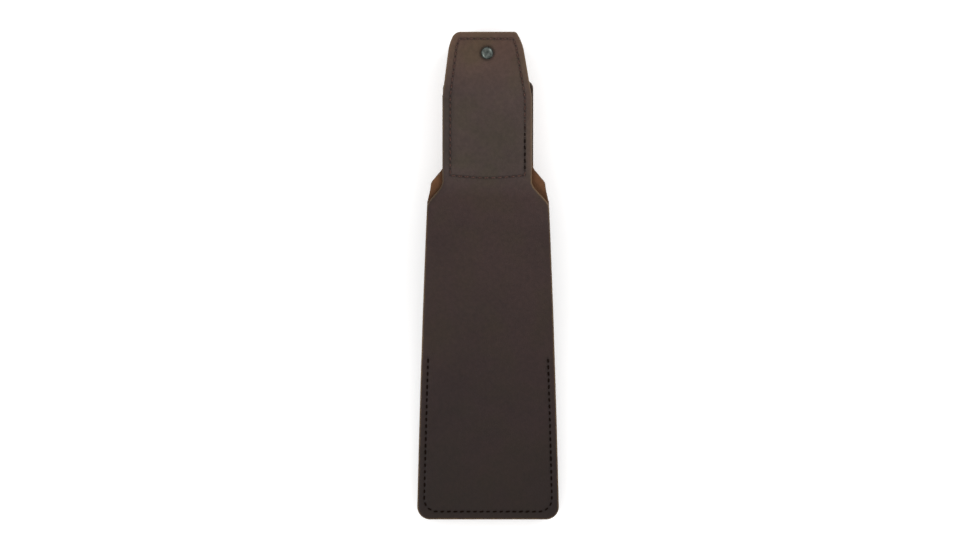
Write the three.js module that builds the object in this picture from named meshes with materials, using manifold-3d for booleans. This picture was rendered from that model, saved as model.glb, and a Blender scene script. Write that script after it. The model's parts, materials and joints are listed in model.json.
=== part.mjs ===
// A leather belt sheath with a hori hori (gardener's knife) in it, lying on its front.
// Millimetres. The sheath's own frame: X across, Y from the pocket's end to the tongue's end,
// +Z out of its back. The last group tilts it on to the ground, where +Z is up.
import * as THREE from "three";
import { mergeVertices } from "three/addons/utils/BufferGeometryUtils.js";
import Module from "manifold-3d";

// ---- driving dimensions ----
const leather = 2.4; // thickness of every sheath panel
const strapLeather = 2; // thickness of the retention strap
const fitGap = 0.3; // gap between pieces that touch

// the knife
const bladeLength = 179;
const bladeHalfWidth = 23.5;
const bladeThickness = 3;
const bladeEdge = 0.8; // thickness left at the ground edges
const bevelWidth = 6;
const gutterDepth = 5; // how far the blade's edges stand above its middle
const pointLength = 48;
const pointRoundness = 1.7; // how full the point's sides are
const pointHalfWidth = 0.7; // the point is barely blunt
const bladeTaper = 0.94; // how much narrower the sides run towards the point
const toothPitch = 5;
const toothDepth = 1.6;
const teethStart = 62; // from the point
const ricasso = 17; // plain edge left between the teeth and the shoulder
const tangLap = 1; // the flat tang runs this far into the blade
const handleLength = 113.5;
const handleHalfWidth = 15;
const handleNeckHalfWidth = 12.5;
const handleThickness = 18;
const handleNeckThickness = 12;
const handleRise = 0.25; // share of the handle over which it thickens
const handleSwell = 1.8; // how soon it widens
const scaleEdge = 1; // thickness left at the scales' rounded sides
const handleCorner = 7;
const handleRivetRadius = 3;
const handleRivetCount = 3;
const firstRivet = 16; // from the blade's shoulder
const lastRivet = 33.5; // from the butt
const knifePitch = 1.2; // degrees that the point leans towards the sheath's back

// the sheath's outline
const tipY = 14.4; // where the blade's point stops short of the pocket's end
const tongueOverhang = 6; // the tongue's end past the butt
const bottomHalfWidth = 45.4;
const sideBow = 0.5; // the sides are barely bowed
const bottomCorner = 8.5; // radius of the two lower corners
const pocketEase = 6.6; // free width beside the blade at the mouth, on each side
const weltWidth = 9;
const weltThickness = 3;
const mouthRise = 11; // the pocket's sides stand this far above the blade's shoulder
const mouthClear = 3; // the dipped middle of the mouth stops this far below it
const bulgeRamp = 8; // length over which the pocket's end rises over the point
const bladeClear = 0.7; // between the blade and the formed leather
const shoulderDrop = 4; // the cover's shoulders start this far below the mouth
const shoulderRise = 17; // length over which the cover narrows to the tongue
const neckHalfWidth = 28.6;
const panelShoulderRise = 16; // where the back panel's cut shoulder starts above the cover's
const panelChamfer = 7.7; // width of that cut shoulder
const panelChamferRise = 9.24; // and its length along the sheath
const panelProud = 0.3; // the back panel's neck is this much wider than the tongue
const panelNeckCorner = 6;
const tongueShift = -0.6; // the tongue is sewn on slightly off centre
const tongueTaper = 41.5; // length of the tongue's tapering end
const tongueSlope = 0.15; // how fast it narrows there, on each side
const tongueRound = 12.5; // the last stretch, where its sides also curve in
const tongueRoundness = 0.0185;
const tongueCorners = [3, 1]; // radii of its end's left and right corners
const tongueLean = 0.95; // its end leans this much further to the left
const linerLength = 30.5;
const linerInset = 0.4; // the liner's edge stops this short of the cover's

// the belt tunnel
const tunnelLength = 116; // the cover's sides are open over this length
const tunnelPastShoulder = 20; // and end this far above its shoulders
const tunnelRise = 7.5; // height that the cover bows out for a belt
const tunnelRamp = 37; // length of each end of the bow

// the seams
const seamMargin = 4.4; // lower seam to the side edges
const seamLift = 0.8; // its bottom row lies this much further from the end
const boxMargins = [5, 4.5]; // box seam to the tongue's left and right edges
const boxTopMargin = 4.4;
const threadWidth = 0.9;
const threadHeight = 0.5;

// the strap, its rivet and its press stud
const strapWidth = 17;
const strapFromEnd = 13.5; // strap's middle to the tongue's end
const strapClear = 1.2; // round the handle, room for the rivet heads
const capFlapReach = 9; // how far each flap runs past the middle
const tongueCapRadius = 4;
const tongueCapHeight = 1.9;
const capRim = 0.5;
const rivetPostRadius = 1.5;
const rivetHeadRadius = 4;
const rivetHeadHeight = 0.6;
const snapRadius = 5.5;
const snapCapRadius = 6.5;
const snapCapHeight = 1.2;
const snapStudRadius = 2;
const snapStudHeight = 1.5;
const snapSocketHeight = 1.6;
const snapSocketHole = 2.5;
const snapPlateHeight = 0.5;
const bite = 0.1; // how far two parts of one solid run into each other

// ---- places along the sheath ----
const bladeShoulderY = tipY + bladeLength;
const sheathLength = bladeShoulderY + handleLength + tongueOverhang;
const strapY = sheathLength - strapFromEnd;
const mouthY = bladeShoulderY + mouthRise; // top of the pocket at its sides
const mouthDip = mouthRise + mouthClear;
const mouthHalfWidth = bladeHalfWidth + weltWidth + pocketEase;
const shoulderY = mouthY - shoulderDrop;
const panelShoulderY = shoulderY + panelShoulderRise;
const panelNeckTop = sheathLength - linerLength;
const panelNeckHalfWidth = neckHalfWidth + panelProud;
const panelShoulderHalfWidth = panelNeckHalfWidth + panelChamfer;
const tunnelEnd = shoulderY + tunnelPastShoulder;
const tunnelStart = tunnelEnd - tunnelLength;
const boxBottomY = tunnelEnd + 1;

// ---- levels worked out from them (Z = 0 is the back panel's front face) ----
const coverBack = leather + fitGap + leather;
const weltFront = -fitGap - weltThickness;
const flangeFront = weltFront - fitGap - leather;
const bandFront = -fitGap - strapLeather;
const handleBackZ = bandFront - strapClear;
const handleFrontZ = handleBackZ - handleThickness;
const studFlapZ = handleFrontZ - strapClear; // inner face of the stud's flap
const studPlateZ = studFlapZ - strapLeather - fitGap;
const studTopZ = studPlateZ - snapPlateHeight - snapStudHeight;
const socketZ = studPlateZ - snapPlateHeight - fitGap;
const capFlapZ = socketZ - snapSocketHeight - fitGap;
const snapCapZ = capFlapZ - strapLeather - fitGap;
const snapCapFrontZ = snapCapZ - snapCapHeight;
const bandInner = handleHalfWidth + strapClear;
const bandOuter = bandInner + strapLeather;
const knifeMiddleZ = handleBackZ - handleThickness / 2; // of the steel, under the strap
const pitch = THREE.MathUtils.degToRad(knifePitch);

// ---- small maths ----
const clamp01 = (t) => Math.min(1, Math.max(0, t));
const smooth = (t) => clamp01(t) ** 2 * (3 - 2 * clamp01(t));
const mix = (a, b, t) => a + (b - a) * t;
const span = (from, to, steps) =>
  Array.from({ length: steps + 1 }, (_, i) => mix(from, to, i / steps));
// Steps that crowd towards the start, for a round corner.
const roundSpan = (from, to, steps) =>
  Array.from({ length: steps + 1 }, (_, i) => mix(from, to, 1 - Math.cos((i / steps) * Math.PI / 2)));
// How far a round corner draws the side in, at a distance from the end that it rounds.
const cornerInset = (radius, fromEnd) =>
  radius - Math.sqrt(Math.max(0, radius ** 2 - Math.max(0, radius - fromEnd) ** 2));
const ascending = (...lists) =>
  [...new Set(lists.flat().map((y) => Number(y.toFixed(4))))].sort((a, b) => a - b);

// ---- outlines: half widths as functions of Y ----
function bodyHalfWidth(y) {
  const straight = mix(bottomHalfWidth, mouthHalfWidth, (y - bottomCorner) / (shoulderY - bottomCorner));
  const bow = sideBow * Math.sin(Math.PI * clamp01(y / shoulderY));
  return straight + bow - cornerInset(bottomCorner, y);
}

function tongueHalfWidth(y) {
  const taper = tongueSlope * Math.max(0, y - (sheathLength - tongueTaper));
  const round = tongueRoundness * Math.max(0, y - (sheathLength - tongueRound)) ** 2;
  return neckHalfWidth - taper - round;
}

function coverEdges(y) {
  const t = smooth((y - shoulderY) / shoulderRise);
  const lean = tongueLean * clamp01((y - (sheathLength - tongueTaper)) / tongueTaper);
  const centre = tongueShift * t - lean;
  const half = mix(bodyHalfWidth(Math.min(y, shoulderY)), tongueHalfWidth(y), t);
  const [left, right] = tongueCorners.map((radius) => half - cornerInset(radius, sheathLength - y));
  return [centre - left, centre + right];
}

function panelEdges(y) {
  let half = bodyHalfWidth(Math.min(y, shoulderY));
  half = mix(half, panelShoulderHalfWidth, smooth((y - shoulderY) / (panelShoulderY - shoulderY)));
  if (y > panelShoulderY) half -= panelChamfer * clamp01((y - panelShoulderY) / panelChamferRise);
  half -= cornerInset(panelNeckCorner, panelNeckTop - y);
  return [-half, half];
}

const flangeEdges = (y) => [-bodyHalfWidth(y), bodyHalfWidth(y)];

function coverRise(y) {
  return tunnelRise * smooth((y - tunnelStart) / tunnelRamp) * smooth((tunnelEnd - y) / tunnelRamp);
}

// ---- solids ----
const wasm = await Module();
wasm.setup();

function solid(geometry) {
  const bare = geometry.index ? geometry.clone() : geometry;
  bare.deleteAttribute("normal");
  bare.deleteAttribute("uv");
  const merged = mergeVertices(bare, 1e-4);
  return new wasm.Manifold(
    new wasm.Mesh({
      numProp: 3,
      vertProperties: merged.attributes.position.array,
      triVerts: new Uint32Array(merged.index.array),
    }),
  );
}

function geometryOf(manifold) {
  const mesh = manifold.getMesh();
  return new THREE.BufferGeometry()
    .setAttribute("position", new THREE.Float32BufferAttribute(mesh.vertProperties, 3))
    .setIndex(new THREE.BufferAttribute(mesh.triVerts, 1));
}

const cut = (geometry, ...tools) =>
  geometryOf(tools.reduce((left, tool) => left.subtract(solid(tool)), solid(geometry)));
const join = (...pieces) => geometryOf(pieces.map(solid).reduce((a, b) => a.add(b)));

// A sheet between two side edges. stations: its Y steps. edges(y): [left, right].
// face(x, y): the height of its middle. thickness: a number or a function of (x, y).
// top(u): share of the length that the column at u (-1 left, 1 right) reaches.
function sheet({ stations, edges, face, thickness, across = 1, top = () => 1 }) {
  const steps = stations.length - 1;
  const geometry = new THREE.BoxGeometry(2, 1, 1, across, steps, 1);
  const position = geometry.attributes.position;
  const start = stations[0];
  for (let i = 0; i < position.count; i++) {
    const u = position.getX(i);
    const station = stations[Math.round((position.getY(i) + 0.5) * steps)];
    const y = start + (station - start) * top(u);
    const [left, right] = edges(y);
    const x = mix(left, right, (u + 1) / 2);
    const thick = typeof thickness === "function" ? thickness(x, y) : thickness;
    position.setXYZ(i, x, y, face(x, y) + position.getZ(i) * thick);
  }
  return geometry;
}

function discAlongZ(radius, z0, z1, x, y, sides = 24) {
  return new THREE.CylinderGeometry(radius, radius, Math.abs(z1 - z0), sides)
    .rotateX(Math.PI / 2)
    .translate(x, y, (z0 + z1) / 2);
}

// A button turned about Z: (radius, height) points from the axis out and back to it.
function turned(profile, sides = 28) {
  const points = profile.map(([r, h]) => new THREE.Vector2(r, h));
  return new THREE.LatheGeometry(points, sides).rotateX(Math.PI / 2);
}

// A flat piece cut to an outline of [x, y] points, standing on Z = z.
function flatPiece(outline, depth, z) {
  const shape = new THREE.Shape(outline.map(([x, y]) => new THREE.Vector2(x, y)));
  return new THREE.ExtrudeGeometry(shape, { depth, bevelEnabled: false }).translate(0, 0, z);
}

// ---- the sheath's leather ----
const cornerStations = roundSpan(0, bottomCorner, 5);
const tongueStations = ascending(
  [sheathLength - tongueTaper, sheathLength - tongueTaper / 2],
  span(sheathLength - tongueRound, sheathLength - tongueCorners[0], 4),
  roundSpan(sheathLength, sheathLength - tongueCorners[0], 5),
);

function beltCover() {
  const bow = [
    ...span(tunnelStart, tunnelStart + tunnelRamp, 8),
    ...span(tunnelEnd - tunnelRamp, tunnelEnd, 10),
  ];
  return cut(
    sheet({
      stations: ascending(cornerStations, span(bottomCorner, tunnelStart, 4), bow, tongueStations),
      edges: coverEdges,
      face: (x, y) => coverBack - leather / 2 + coverRise(y),
      thickness: leather,
    }),
    discAlongZ(rivetPostRadius + fitGap, 0, coverBack + 1, tongueShift, strapY),
  );
}

function backPanel() {
  const shoulder = [...span(shoulderY, panelShoulderY, 5), panelShoulderY + panelChamferRise];
  const corner = roundSpan(panelNeckTop, panelNeckTop - panelNeckCorner, 4);
  return sheet({
    stations: ascending(cornerStations, span(bottomCorner, shoulderY, 8), shoulder, corner),
    edges: panelEdges,
    face: () => leather / 2,
    thickness: leather,
  });
}

function tongueLiner() {
  return cut(
    sheet({
      stations: ascending([panelNeckTop + fitGap], tongueStations.filter((y) => y > panelNeckTop + 1)),
      edges: (y) => coverEdges(y).map((x) => x - Math.sign(x) * linerInset),
      face: () => leather / 2,
      thickness: leather,
    }),
    discAlongZ(rivetPostRadius + fitGap, -1, leather + 1, tongueShift, strapY),
  );
}

const mouthTop = (u) => 1 - (mouthDip / mouthY) * (1 - u * u);

// How far the blade's section stands up at x, from its middle to its edges.
const gutter = (x) => gutterDepth * (x / bladeHalfWidth) ** 2;

// The wet-formed bulge: it follows the blade's round side, and is gone at the welt and at the pocket's end.
function bulge(x, y) {
  const side = Math.abs(x);
  const steelZ = knifeMiddleZ + (strapY - y) * Math.tan(pitch) - bladeThickness / 2;
  const depth = weltFront - fitGap - (steelZ - bladeClear) - gutter(Math.min(side, bladeHalfWidth));
  const foot = bladeHalfWidth + bladeClear;
  const beside = 1 - smooth((side - foot) / (bodyHalfWidth(y) - weltWidth - foot));
  return Math.max(0, depth) * beside * smooth((y - seamMargin - seamLift - threadWidth) / bulgeRamp);
}

function frontPanel() {
  const end = span(bottomCorner, weltWidth * 2.4, 6);
  return sheet({
    stations: ascending(cornerStations, end, span(weltWidth * 2.4, mouthY, 12)),
    edges: flangeEdges,
    face: (x, y) => flangeFront + leather / 2 - bulge(x, y),
    thickness: leather,
    across: 18,
    top: mouthTop,
  });
}

function welt() {
  const y = ascending(cornerStations, span(bottomCorner, mouthY, 6));
  const right = y.map((at) => [bodyHalfWidth(at), at]);
  const innerY = ascending(roundSpan(weltWidth, weltWidth * 1.7, 3), span(weltWidth * 1.7, mouthY, 5));
  const inside = (at) => bodyHalfWidth(at) - weltWidth - cornerInset(weltWidth * 0.7, at - weltWidth);
  const innerRight = innerY.map((at) => [inside(at), at]).reverse();
  const half = [...right, ...innerRight];
  const mirrored = half.map(([x, at]) => [-x, at]).reverse();
  return flatPiece([...half, ...mirrored], weltThickness, weltFront);
}

// ---- the seams: each thread as one thin band on the leather ----
function uBand(margin, topY, z) {
  const line = (inset) => {
    const low = inset + seamLift;
    const y = ascending(roundSpan(low, bottomCorner + low, 5), [topY]);
    return y.map((at) => [
      bodyHalfWidth(Math.max(at, bottomCorner)) - inset - cornerInset(bottomCorner, at - low),
      at,
    ]);
  };
  const outer = line(margin - threadWidth / 2);
  const inner = line(margin + threadWidth / 2).reverse();
  const half = [...outer, ...inner];
  return flatPiece([...half, ...half.map(([x, y]) => [-x, y]).reverse()], threadHeight, z);
}

function sideBand(side, z) {
  const y = span(tunnelStart + 1, mouthY - 3, 4);
  const at = (offset) => y.map((v) => [side * (bodyHalfWidth(v) - seamMargin + offset), v]);
  const points = [...at(threadWidth / 2), ...at(-threadWidth / 2).reverse()];
  return flatPiece(points, threadHeight, z);
}

function boxRing(inset) {
  const top = sheathLength - boxTopMargin - inset;
  const y = ascending([boxBottomY + inset, sheathLength - tongueTaper], span(panelNeckTop, top, 5));
  const left = y.map((v) => [coverEdges(v)[0] + boxMargins[0] + inset, v]);
  const right = y.map((v) => [coverEdges(v)[1] - boxMargins[1] - inset, v]).reverse();
  return [...left, ...right];
}

function boxBand(z) {
  const whole = flatPiece(boxRing(-threadWidth / 2), threadHeight, z);
  return cut(whole, flatPiece(boxRing(threadWidth / 2), threadHeight + 2, z - 1));
}

// ---- the knife, in its own frame: Y from the point, Z = 0 in the middle of the steel ----
const teethCount = Math.floor((bladeLength - teethStart - ricasso) / toothPitch);

// Pointed, with the sides nearly parallel behind the point, and toothed on the left.
function bladeEdges(y) {
  const point = clamp01(y / pointLength);
  const taper = mix(bladeTaper, 1, y / bladeLength);
  const round = Math.sqrt(1 - (1 - point) ** pointRoundness);
  const half = Math.max(pointHalfWidth, bladeHalfWidth * taper * round);
  const tooth = (y - teethStart) / toothPitch;
  const inTeeth = tooth > 0 && tooth < teethCount;
  const notch = inTeeth ? toothDepth * (1 - Math.abs(2 * (tooth % 1) - 1)) : 0;
  return [notch - half, half];
}

const handleHalf = (t) => mix(handleNeckHalfWidth, handleHalfWidth, smooth(t * handleSwell));

function handleHalfThickness(along) {
  return mix(handleNeckThickness, handleThickness, smooth(along / (handleLength * handleRise))) / 2;
}

function handleEdges(y) {
  const along = y - bladeLength;
  const half = handleHalf(along / handleLength) - cornerInset(handleCorner, handleLength - along);
  return [-half, half];
}

const handleStations = ascending(
  span(bladeLength, bladeLength + handleLength - handleCorner, 8),
  roundSpan(bladeLength + handleLength, bladeLength + handleLength - handleCorner, 4),
);

const rivetStep = (handleLength - firstRivet - lastRivet) / (handleRivetCount - 1);
const handleRivetPlaces = Array.from({ length: handleRivetCount }, (_, i) => firstRivet + i * rivetStep);

const rivetHole = (place) =>
  discAlongZ(handleRivetRadius + fitGap, -handleThickness, handleThickness, 0, bladeLength + place, 20);

function bladeAndTang() {
  const blade = sheet({
    stations: ascending(
      roundSpan(0, pointLength, 7),
      span(teethStart, teethStart + teethCount * toothPitch, teethCount * 2),
      [bladeLength - bevelWidth, bladeLength],
    ),
    edges: bladeEdges,
    face: gutter,
    thickness: (x, y) => {
      const fromEdge = bladeEdges(y)[1] - Math.abs(x);
      return mix(bladeEdge, bladeThickness, clamp01(fromEdge / bevelWidth));
    },
    across: 10,
  });
  const tang = sheet({
    stations: [bladeLength - tangLap, ...handleStations],
    edges: (y) => handleEdges(Math.max(y, bladeLength)),
    face: () => 0,
    thickness: bladeThickness,
  });
  return cut(join(blade, tang), ...handleRivetPlaces.map(rivetHole));
}

// One of the two handle scales: side 1 lies on the concave side, -1 on the other.
function handleScale(side) {
  const inner = bladeThickness / 2 + fitGap;
  const outer = (x, y) => {
    const share = Math.abs(x) / handleEdges(y)[1];
    const crown = handleHalfThickness(y - bladeLength) - inner - scaleEdge;
    return inner + scaleEdge + crown * Math.sqrt(Math.max(0, 1 - share ** 4));
  };
  const body = sheet({
    stations: handleStations,
    edges: handleEdges,
    face: (x, y) => (side * (inner + outer(x, y))) / 2,
    thickness: (x, y) => outer(x, y) - inner,
    across: 10,
  });
  return cut(body, ...handleRivetPlaces.map(rivetHole));
}

function handleRivet(place) {
  const half = handleHalfThickness(place) - bite; // filed just under the wood
  return discAlongZ(handleRivetRadius, -half, half, 0, bladeLength + place, 20);
}

// ---- the retention strap and its press stud ----
const strapBox = (x0, x1, z0, z1) =>
  new THREE.BoxGeometry(Math.abs(x1 - x0), strapWidth, Math.abs(z1 - z0)).translate(
    (x0 + x1) / 2,
    strapY,
    (z0 + z1) / 2,
  );

// The part riveted to the tongue, and both sides up to the handle's front corners.
function strapBand() {
  const back = strapBox(-bandOuter, bandOuter, bandFront, -fitGap);
  const capSide = strapBox(-bandOuter, -bandInner, capFlapZ + fitGap, -fitGap);
  const studSide = strapBox(bandInner, bandOuter, studFlapZ + fitGap, -fitGap);
  const hole = discAlongZ(rivetPostRadius + fitGap, bandFront - 1, 1, tongueShift, strapY);
  return cut(join(back, capSide, studSide), hole);
}

// A flap from one side of the band (-1 left, 1 right) to a round end past the middle.
function strapFlap(side, z, holeRadius) {
  const half = strapWidth / 2;
  const shape = new THREE.Shape();
  shape.moveTo(side * bandOuter, -half);
  shape.lineTo(side * bandOuter, half);
  shape.lineTo(-side * (capFlapReach - half), half);
  shape.absarc(-side * (capFlapReach - half), 0, half, Math.PI / 2, -Math.PI / 2, side < 0);
  const depth = strapLeather;
  const plate = new THREE.ExtrudeGeometry(shape, { depth, bevelEnabled: false, curveSegments: 8 });
  plate.translate(0, strapY, z - strapLeather);
  return cut(plate, discAlongZ(holeRadius, z - strapLeather - 1, z + 1, 0, strapY));
}

function tongueRivetCap() {
  const r = tongueCapRadius;
  const h = tongueCapHeight;
  const dome = span(0, Math.PI / 2, 5).map((a) => [r * Math.cos(a), capRim + (h - capRim) * Math.sin(a)]);
  return turned([[0, 0], [r, 0], ...dome]).translate(tongueShift, strapY, coverBack + fitGap);
}

function tongueRivetPost() {
  const post = discAlongZ(rivetPostRadius, bandFront - fitGap - bite, coverBack, tongueShift, strapY);
  const headZ = bandFront - fitGap;
  const head = discAlongZ(rivetHeadRadius, headZ - rivetHeadHeight, headZ, tongueShift, strapY);
  return join(post, head);
}

function snapCap() {
  const round = snapCapHeight / 2;
  const edge = [[snapCapRadius - round, 0], [snapCapRadius, round], [snapCapRadius, snapCapHeight]];
  const plate = turned([[0, 0], ...edge, [0, snapCapHeight]]).translate(0, strapY, snapCapFrontZ);
  return join(plate, discAlongZ(rivetPostRadius, snapCapZ - bite, capFlapZ + bite, 0, strapY));
}

function snapSocket() {
  const inner = snapSocketHole;
  const h = snapSocketHeight;
  const profile = [[inner, 0], [snapRadius, 0], [snapRadius, h], [inner, h], [inner, 0]];
  return turned(profile).translate(0, strapY, socketZ - h);
}

function snapStud() {
  const plate = discAlongZ(snapRadius, studPlateZ - snapPlateHeight, studPlateZ, 0, strapY);
  const stud = discAlongZ(snapStudRadius, studTopZ, studPlateZ - bite, 0, strapY);
  const shank = discAlongZ(rivetPostRadius, studPlateZ - bite, studFlapZ, 0, strapY);
  return join(plate, stud, shank);
}

const snapEyelet = () =>
  discAlongZ(rivetHeadRadius, studFlapZ + fitGap, studFlapZ + fitGap + snapPlateHeight, 0, strapY);

// ---- colours ----
const paint = (color, roughness, metalness = 0) => ({ color, roughness, metalness });
const brownLeather = paint(0x3a2e2a, 0.6);
const edgeLeather = paint(0x5a4232, 0.8);
const darkThread = paint(0x1a100c, 0.8);
const tongueThread = paint(0x4a2a26, 0.8);
const gunmetal = paint(0x4a4a42, 0.4, 0.9);
const steel = paint(0xb9bcbd, 0.35, 1);
const wood = paint(0x8a5a34, 0.55);
const brass = paint(0xb08d4a, 0.35, 1);

function piece(name, geometry, look) {
  const mesh = new THREE.Mesh(geometry, new THREE.MeshStandardMaterial(look));
  mesh.name = name;
  return mesh;
}

// ---- assembly ----
const backThreadZ = coverBack + fitGap;
const frontThreadZ = flangeFront - fitGap - threadHeight;

const sheathGroup = new THREE.Group();
sheathGroup.add(
  piece("belt_cover", beltCover(), brownLeather),
  piece("back_panel", backPanel(), brownLeather),
  piece("tongue_liner", tongueLiner(), edgeLeather),
  piece("front_panel", frontPanel(), brownLeather),
  piece("welt", welt(), edgeLeather),
  piece("lower_seam_back_thread", uBand(seamMargin, tunnelStart, backThreadZ), darkThread),
  piece("lower_seam_front_thread", uBand(seamMargin, tunnelStart - 1, frontThreadZ), darkThread),
  piece("side_seam_thread_left", sideBand(-1, frontThreadZ), darkThread),
  piece("side_seam_thread_right", sideBand(1, frontThreadZ), darkThread),
  piece("box_seam_back_thread", boxBand(backThreadZ), tongueThread),
);

const knifeGroup = new THREE.Group();
knifeGroup.add(
  piece("blade_and_tang", bladeAndTang(), steel),
  piece("handle_scale_back", handleScale(1), wood),
  piece("handle_scale_front", handleScale(-1), wood),
  ...handleRivetPlaces.map((place, i) => piece(`handle_rivet_${i + 1}`, handleRivet(place), brass)),
);
knifeGroup.rotation.x = -pitch;
knifeGroup.position.set(0, tipY, knifeMiddleZ + (strapY - tipY) * Math.tan(pitch));

const strapGroup = new THREE.Group();
strapGroup.add(
  piece("strap_band", strapBand(), brownLeather),
  piece("strap_cap_flap", strapFlap(-1, capFlapZ, rivetPostRadius + fitGap), brownLeather),
  piece("strap_stud_flap", strapFlap(1, studFlapZ, rivetPostRadius + fitGap), brownLeather),
  piece("tongue_rivet_cap", tongueRivetCap(), gunmetal),
  piece("tongue_rivet_post", tongueRivetPost(), gunmetal),
  piece("snap_cap", snapCap(), gunmetal),
  piece("snap_socket", snapSocket(), gunmetal),
  piece("snap_stud", snapStud(), gunmetal),
  piece("snap_eyelet", snapEyelet(), gunmetal),
);

// The snap's cap and the end of the pocket's bulge touch the ground, so the back slopes a little.
const restY = weltWidth * 1.7;
const restZ = flangeFront - bulge(0, restY);
const lying = new THREE.Group();
lying.add(sheathGroup, knifeGroup, strapGroup);
lying.rotation.x = Math.atan2(restZ - snapCapFrontZ, strapY - restY);

const model = new THREE.Group();
model.add(lying);
const bounds = new THREE.Box3().setFromObject(model, true);
const centre = bounds.getCenter(new THREE.Vector3());
lying.position.set(-centre.x, -centre.y, -bounds.min.z);

export default model;
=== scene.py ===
# A hori hori knife in its leather belt sheath, lying on its front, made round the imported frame.
# Lengths are millimetres in the sheath's frame: X across, Y from the pocket's end to the tongue's
# end, +Z out of the sheath's back. The knife has its own frame, with Y from the blade's point.
import json
import math

import bpy
import numpy as np
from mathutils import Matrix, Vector


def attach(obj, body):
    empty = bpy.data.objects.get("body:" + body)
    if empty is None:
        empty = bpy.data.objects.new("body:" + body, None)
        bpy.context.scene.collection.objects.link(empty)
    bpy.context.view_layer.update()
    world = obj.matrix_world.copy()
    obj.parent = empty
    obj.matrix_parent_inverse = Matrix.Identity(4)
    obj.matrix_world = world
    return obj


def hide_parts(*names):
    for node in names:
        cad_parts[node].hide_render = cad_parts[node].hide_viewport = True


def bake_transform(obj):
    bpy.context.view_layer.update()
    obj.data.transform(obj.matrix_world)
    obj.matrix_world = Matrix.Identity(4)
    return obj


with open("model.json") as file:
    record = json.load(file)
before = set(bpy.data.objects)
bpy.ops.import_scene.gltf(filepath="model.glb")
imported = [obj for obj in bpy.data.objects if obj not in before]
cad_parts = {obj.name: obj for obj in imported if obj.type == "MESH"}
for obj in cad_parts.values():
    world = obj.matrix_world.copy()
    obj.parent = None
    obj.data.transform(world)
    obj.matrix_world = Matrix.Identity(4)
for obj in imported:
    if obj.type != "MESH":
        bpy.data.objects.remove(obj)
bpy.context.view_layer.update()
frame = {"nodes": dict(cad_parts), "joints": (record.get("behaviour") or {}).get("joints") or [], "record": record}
joints = {joint["name"]: joint for joint in frame["joints"]}
print("frame loaded:", len(frame["nodes"]), "nodes")

# where the sheath and the knife lie, and what several pieces share
seatAt = (0, 159.4, 2.4)  # the belt seat's point in the sheath's frame
knifeAt = (0, 14.4, -6.53)  # the blade's point, with the knife home
leather = 2.4  # thickness
backLevel = 5.1  # the cover's outer face: the back panel, the cover and a little slack
rivetAt = (-0.6, 299.4)
beltSeat = np.array(frame["record"]["mounts"][0]["pos_m"])
sheathLong = np.array(joints["cap_flap_hinge"]["axis"])
knifeLong = np.array(joints["knife_slide"]["axis"])


def axesFrom(long):  # rows: across, along and out of the back
    return np.array([[1, 0, 0], long, [0, -long[2], long[1]]])


def toRow(points):  # turned with the sheath's slope about the belt seat, in metres
    return beltSeat + (np.asarray(points, float) - seatAt) @ axesFrom(sheathLong) / 1000


def knifeToRow(points):  # the same for the knife, which leans a little more
    return toRow(knifeAt) + np.asarray(points, float) @ axesFrom(knifeLong) / 1000


# small maths, on whole arrays
def clamp01(t):  # no less than 0 and no more than 1
    return np.clip(t, 0, 1)


def smooth(t):  # eases from 0 to 1 as 3 t^2 - 2 t^3
    return clamp01(t) ** 2 * (3 - 2 * clamp01(t))


def mix(a, b, t):  # a where t is 0, b where it is 1
    return a + (b - a) * t


def cornerInset(radius, fromEnd):  # how far a round corner draws the side in
    return radius - np.sqrt(np.maximum(0, radius**2 - np.maximum(0, radius - fromEnd) ** 2))


def between(y, low, high, fadeIn, fadeOut):  # 1 between two places, with an eased ramp at each
    return smooth((y - low) / fadeIn) * smooth((high - y) / fadeOut)


rimSteps = np.array([0, 0.02, 0.08, 0.2, 0.38, 0.62])  # from a cut edge, over its rounded corner


# Even steps between two ends, with the small steps of a rounded rim at both ends.
def stationsBetween(start, end, step):
    rim = rimSteps[:-1]
    middle = np.linspace(start + rimSteps[-1], end - rimSteps[-1], max(2, int((end - start) / step)))
    return np.concatenate([start + rim, middle, (end - rim)[::-1]])


# For each point: its distance from the path, and the path length up to the nearest place.
# The nearest of the path's points is found first, then the nearer of its two segments.
def alongPath(points, path):
    blocks = np.array_split(points, len(points) // 3000 + 1)
    near = np.concatenate([((b[:, None] - path) ** 2).sum(-1).argmin(1) for b in blocks])
    lengths = np.concatenate([[0], np.cumsum(np.linalg.norm(np.diff(path, axis=0), axis=1))])
    best = np.full(len(points), 1e9)
    where = np.zeros(len(points))
    for low in (np.maximum(near - 1, 0), np.minimum(near, len(path) - 2)):
        step = path[low + 1] - path[low]
        share = clamp01(((points - path[low]) * step).sum(1) / np.maximum((step**2).sum(1), 1e-12))
        distance = np.linalg.norm(points - path[low] - step * share[:, None], axis=1)
        closer = distance < best
        where = np.where(closer, mix(lengths[low], lengths[low + 1], share), where)
        best = np.minimum(best, distance)
    return best, where


# the sheath's outlines, as half widths or [left, right] at each Y
outline = dict(
    length=312.9, bottomHalf=45.4, mouthHalf=39.1, sideBow=0.5, bottomCorner=8.5,
    shoulder=200.4, shoulderRise=17, neckHalf=28.6, shift=-0.6,
    taper=41.5, slope=0.15, roundFrom=12.5, roundness=0.0185, lean=0.95, corners=(3, 1),
    panelShoulder=216.4, panelShoulderHalf=36.6, chamfer=7.7, chamferRise=9.24,
    panelNeckTop=282.4, panelNeckCorner=6,
    tunnelStart=104.4, tunnelEnd=220.4, tunnelRise=7.5, tunnelRamp=37,
    mouth=204.4, mouthDip=14, weltWidth=9,
)


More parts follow.
